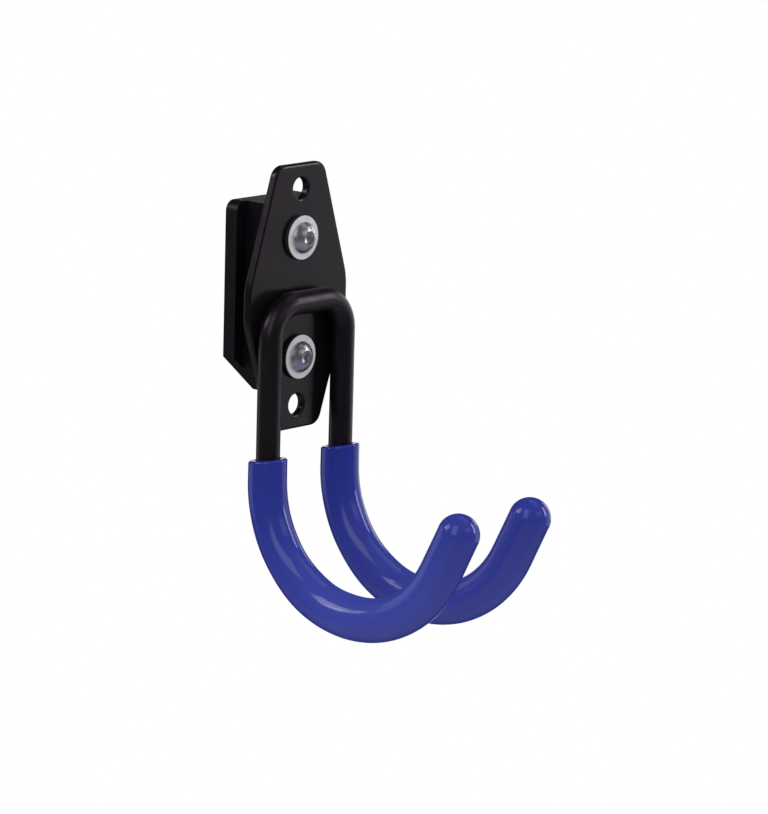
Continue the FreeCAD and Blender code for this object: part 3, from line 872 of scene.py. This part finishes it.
def screw_rows():
    """Rows of a button-head screw from the socket's floor over the dome to the threaded end."""
    rise = HEAD_HEIGHT - HEAD_RIM
    dome = (HEAD_RADIUS ** 2 + rise ** 2) / (2.0 * rise)

    def dome_height(radius):
        """Height of the dome at a distance from the axis."""
        return HEAD_HEIGHT - dome + math.sqrt(dome ** 2 - radius ** 2)

    rim = SOCKET_APOTHEM / math.cos(math.pi / 6) + SOCKET_RIM
    rows = socket_rows(dome_height, rim)
    dome_start = rim + SOCKET_RIM_EDGE
    dome_end = HEAD_RADIUS - DOME_EDGE
    for step in range(DOME_STEPS + 1):
        radius = dome_start + (dome_end - dome_start) * step / DOME_STEPS
        rows.append(plain(radius, dome_height(radius)))
    rows += [plain(HEAD_RADIUS, HEAD_RIM), plain(HEAD_RADIUS, HEAD_EDGE)]
    rows += [plain(HEAD_RADIUS - HEAD_EDGE, 0.0)]
    rows += [plain(SHANK_RADIUS + SHANK_FILLET, 0.0), plain(SHANK_RADIUS, -SHANK_FILLET)]
    thread_top = THREAD_LENGTH - SCREW_LENGTH
    thread_end = -SCREW_LENGTH + SCREW_END_CHAMFER
    for step in range(THREAD_STEPS + 1):
        height = thread_top + (thread_end - thread_top) * step / THREAD_STEPS
        rows.append(thread_row(height, min(1.0, step / THREAD_RUN_IN)))
    rows.append(plain(SHANK_RADIUS - SCREW_END_CHAMFER, -SCREW_LENGTH))
    return rows


def washer_rows():
    """Rows of a punched washer: rounded front edges, sharper back edges."""
    front = WASHER_THICKNESS
    bore_round = WASHER_BORE_ROUND
    edge_round = WASHER_EDGE_ROUND
    rows = arc_rows(WASHER_BORE + bore_round, front - bore_round, bore_round, math.pi, QUARTER_TURN, 4)
    rows += arc_rows(WASHER_RADIUS - edge_round, front - edge_round, edge_round, QUARTER_TURN, 0.0, 6)
    rows += [plain(WASHER_RADIUS, WASHER_BACK_EDGE), plain(WASHER_RADIUS - WASHER_BACK_EDGE, 0.0)]
    rows += [plain(WASHER_BORE + WASHER_BACK_EDGE, 0.0), plain(WASHER_BORE, WASHER_BACK_EDGE)]
    return rows


def nut_rows():
    """Rows of a hexagon nut: chamfered corners on both faces and a chamfered bore."""
    corner = NUT_APOTHEM / math.cos(math.pi / 6)
    face_reach = NUT_APOTHEM * NUT_FACE_SHARE
    slope = math.tan(NUT_FACE_SLOPE)

    def outer(height):
        """Row on the nut's side, drawn in by the chamfer near a face."""
        inset = min(height, NUT_HEIGHT - height)
        return lambda angle: (min(hexagon_reach(angle, NUT_APOTHEM), face_reach + inset / slope), height)

    last_chamfer = (corner - face_reach) * slope
    rows = [plain(NUT_BORE, NUT_CHAMFER), plain(NUT_BORE + NUT_CHAMFER, 0.0), plain(face_reach, 0.0)]
    rows += [outer(last_chamfer * share) for share in NUT_CHAMFER_SHARES]
    rows += [outer(NUT_HEIGHT - last_chamfer * share) for share in reversed(NUT_CHAMFER_SHARES)]
    rows += [plain(face_reach, NUT_HEIGHT), plain(NUT_BORE + NUT_CHAMFER, NUT_HEIGHT)]
    rows.append(plain(NUT_BORE, NUT_HEIGHT - NUT_CHAMFER))
    return rows


WASHER_SEAT = PLATE_FRONT - WASHER_THICKNESS
NUT_SEAT = WASHER_SEAT + SCREW_LENGTH
for level, z in SCREW_LEVELS.items():
    screw = show(f"button_screw_{level}", turned(screw_rows(), z, WASHER_SEAT, SCREW_TURNS[level]),
                 PLATING, f"screw_{level}")
    washer = show(f"zinc_washer_{level}", turned(washer_rows(), z, PLATE_FRONT, closed_ends=False),
                  ZINC, f"washer_{level}")
    nut = show(f"zinc_nut_{level}", turned(nut_rows(), z, NUT_SEAT, closed_ends=False),
               ZINC, f"nut_{level}")
    for piece in (screw, washer, nut):
        piece.data.set_sharp_from_angle(angle=SHARP_ANGLE)
        weigh_normals(piece)


# Weld beads: overlapping ripples between the arch bar's underside and the plate, under the coat
WELD_START = 1.5
WELD_LENGTH = 5.0
WELD_TOE = 4.2
WELD_ROOT = 1.1
WELD_ROD_EDGE = 3.55
WELD_ROD_REACH = 1.95
WELD_PITCH = 1.3
WELD_SINK = 0.02
WELD_ROOT_GAP = 0.1
WELD_SWELL = 0.32
WELD_SWELL_WAY = Vector((-0.3, -0.95))
WELD_TOE_RIPPLE = 0.15
WELD_TOP_RIPPLE = 0.08
WELD_SWELL_RIPPLE = 0.10
WELD_END_POINT = Vector((PLATE_FRONT - 0.12, ARCH_Z - WELD_ROOT - 0.4))
WELD_END_ROUND = (-0.15, 1.6)
WELD_ROWS = 60
WELD_FACE_STEPS = 8
WELD_ROD_STEPS = 6


def weld_section(ripple):
    """Outline of the bead in Y and Z; the ripple is 0 at the start of a wave and 1 at its end."""
    toe = Vector((PLATE_FRONT - WELD_SINK, ARCH_Z - WELD_TOE + WELD_TOE_RIPPLE * ripple))
    top = Vector((PLATE_FRONT - WELD_ROD_REACH + WELD_TOP_RIPPLE * ripple, ARCH_Z - WELD_ROD_EDGE))
    section = [toe]
    for step in range(1, WELD_FACE_STEPS):
        share = step / WELD_FACE_STEPS
        swell = (WELD_SWELL - WELD_SWELL_RIPPLE * ripple) * math.sin(math.pi * share)
        section.append(toe.lerp(top, share) + WELD_SWELL_WAY * swell)
    section.append(top)
    top_angle = math.atan2(top.y - ARCH_Z, top.x - ROD_Y)
    root_angle = math.atan2(-WELD_ROOT, PLATE_FRONT - WELD_ROOT_GAP - ROD_Y)
    for angle in arc_angles(top_angle, root_angle, WELD_ROD_STEPS):
        section.append(Vector((ROD_Y + (ROD_RADIUS + WELD_SINK) * math.cos(angle),
                               ARCH_Z + (ROD_RADIUS + WELD_SINK) * math.sin(angle))))
    section.append(Vector((PLATE_FRONT - WELD_SINK, ARCH_Z - WELD_ROOT)))
    return section


def weld_mesh(side):
    """Rippled bead with rounded ends."""
    rings = []
    for row in range(WELD_ROWS + 1):
        reach = WELD_LENGTH * row / WELD_ROWS
        section = weld_section((reach / WELD_PITCH) % 1.0)
        size = math.sqrt(smooth_step(*WELD_END_ROUND, min(reach, WELD_LENGTH - reach)))
        x = side * (WELD_START + reach)
        ring = [WELD_END_POINT + (spot - WELD_END_POINT) * size for spot in section]
        rings.append([Vector((x, spot.x, spot.y)) for spot in ring])
    bm = bmesh.new()
    first, last = add_rings(bm, rings)
    cap(bm, first)
    cap(bm, last)
    return bm


for name, side in SIDES.items():
    show(f"weld_bead_{name}", weld_mesh(side), ROD_COAT, f"weld_{name}")


# Lamps: soft panels where the photograph's highlights put them
STUDIO_CENTRE = Vector((0.0, -50.0, -35.0))
LAMP_DISTANCE = 1100.0


def panel_length(angle):
    """Length in metres that fills an angle in degrees at the lamps' distance."""
    return 2.0 * LAMP_DISTANCE * math.tan(math.radians(angle / 2)) * MM


def add_lamp(name, azimuth, elevation, wide, high, brightness, tilt=0.0, glossy=True):
    """Soft lamp that faces the hook; wide and high are the angles that it fills, in degrees."""
    toward = direction(azimuth, elevation)
    data = bpy.data.lights.new(name, "AREA")
    data.shape = "RECTANGLE"
    data.size = panel_length(wide)
    data.size_y = panel_length(high)
    data.energy = brightness * math.pi * panel_length(wide) * panel_length(high)
    lamp = new_object(name, data)
    aim = toward.to_track_quat("Z", "Y").to_matrix() @ Matrix.Rotation(math.radians(tilt), 3, "Z")
    place = (STUDIO_CENTRE + toward * LAMP_DISTANCE) * MM
    lamp.matrix_world = Matrix.Translation(place) @ aim.to_4x4()
    lamp.visible_camera = False
    lamp.visible_glossy = glossy


add_lamp("back_left_low", -136.0, 28.0, 26.0, 8.0, 2.4)
add_lamp("back_left_high", -129.0, 37.0, 20.0, 20.0, 2.8, tilt=45.0)
add_lamp("back_left_rim", -164.0, 0.0, 36.0, 36.0, 0.42)
add_lamp("left_box", -72.0, 35.0, 26.0, 46.0, 1.1)
add_lamp("right_strip", 52.5, 21.0, 9.0, 34.0, 5.0, tilt=-29.0)
add_lamp("right_panel", 71.0, -1.0, 50.0, 46.0, 0.5)
add_lamp("right_edge_box", 98.0, 4.0, 13.0, 34.0, 1.6)
add_lamp("front_box", 10.0, 29.0, 30.0, 16.0, 0.6)
add_lamp("overhead_right", 80.0, 64.0, 50.0, 22.0, 0.34)
add_lamp("overhead_fill", -35.0, 62.0, 60.0, 50.0, 0.82, glossy=False)


# World: white to the camera, soft light all round, and a dark studio with a white backdrop in mirrors
BOUNCE_STOPS = [(0.0, (0.75, 0.75, 0.75)), (0.5, (0.60, 0.60, 0.60)), (1.0, (0.50, 0.50, 0.50))]
BACKDROP_WAY = direction(130.0, -9.5)
BACKDROP_EDGE = (0.94, 0.98)
GLOW_SIDE = (0.75, 0.25)
GLOW_DEPTH = (-0.28, -0.42)
GLOW_LOW = 0.22
GLOW_BASE = 0.08
GLOW_LEAST = 0.02


def add_world():
    """World that the camera, the mirrored rays and the soft light each see in their own way."""
    world = bpy.data.worlds.new("studio")
    bpy.context.scene.world = world
    world.use_nodes = True
    nodes = Nodes(world.node_tree)
    way = nodes.add("ShaderNodeTexCoord").outputs["Generated"]
    height = nodes.add("ShaderNodeSeparateXYZ", Vector=way).outputs["Z"]
    bounce = nodes.ramp(nodes.span(height, -1.0, 1.0, 0.0, 1.0), BOUNCE_STOPS)
    behind = nodes.vector_value("DOT_PRODUCT", way, BACKDROP_WAY)
    backdrop = nodes.span(behind, *BACKDROP_EDGE, 0.0, 1.0)
    ray = nodes.add("ShaderNodeLightPath").outputs
    mirrored_ray = nodes.calculate("MAXIMUM", ray["Is Glossy Ray"], ray["Is Transmission Ray"])
    white_in_mirror = nodes.calculate("MULTIPLY", mirrored_ray, backdrop)
    white_share = nodes.calculate("MAXIMUM", ray["Is Camera Ray"], white_in_mirror)
    low = nodes.span(height, *GLOW_DEPTH, 0.0, 1.0)
    aside = nodes.span(behind, *GLOW_SIDE, 0.0, 1.0)
    glow = nodes.calculate("ADD", nodes.calculate("MULTIPLY", low, GLOW_LOW), GLOW_BASE)
    seen = nodes.calculate("ADD", nodes.calculate("MULTIPLY", aside, glow), GLOW_LEAST)
    strength = nodes.span(mirrored_ray, 0.0, 1.0, 1.0, seen)
    light = nodes.add("ShaderNodeBackground", Color=bounce, Strength=strength)
    white = nodes.add("ShaderNodeBackground", Color=(1.0, 1.0, 1.0, 1.0), Strength=1.0)
    nodes.show_on("ShaderNodeOutputWorld", nodes.mixed_shader(white_share, light, white))


add_world()


# Floor: round, pale and below the hook; it keeps the hook's shadow and fades out towards its rim
FLOOR_RADIUS = 550.0
FLOOR_FADE_START = 250.0
FLOOR_SIDES = 96
FLOOR_PLACE = (0.0, -60.0, -700.0)
FLOOR_PAINT = (0.80, 0.80, 0.80, 1.0)


def add_floor():
    """Floor that mirrored rays don't see."""
    bm = bmesh.new()
    bmesh.ops.create_circle(bm, cap_ends=True, segments=FLOOR_SIDES, radius=FLOOR_RADIUS * MM)
    mesh = new_mesh("floor", bm)
    floor = new_object("floor", mesh)
    floor.location = [length * MM for length in FLOOR_PLACE]
    material = bpy.data.materials.new("pale_floor")
    material.use_nodes = True
    nodes = Nodes(material.node_tree)
    reach = nodes.vector_value("LENGTH", nodes.add("ShaderNodeTexCoord").outputs["Object"])
    rim = nodes.span(reach, FLOOR_FADE_START * MM, FLOOR_RADIUS * MM, 0.0, 1.0)
    fade = nodes.calculate("MAXIMUM", rim, nodes.add("ShaderNodeLightPath").outputs["Is Glossy Ray"])
    paint = nodes.add("ShaderNodeBsdfDiffuse", Color=FLOOR_PAINT)
    clear = nodes.add("ShaderNodeBsdfTransparent")
    nodes.show_on("ShaderNodeOutputMaterial", nodes.mixed_shader(fade, paint, clear))
    mesh.materials.append(material)


add_floor()
bpy.context.scene.view_settings.view_transform = "Standard"
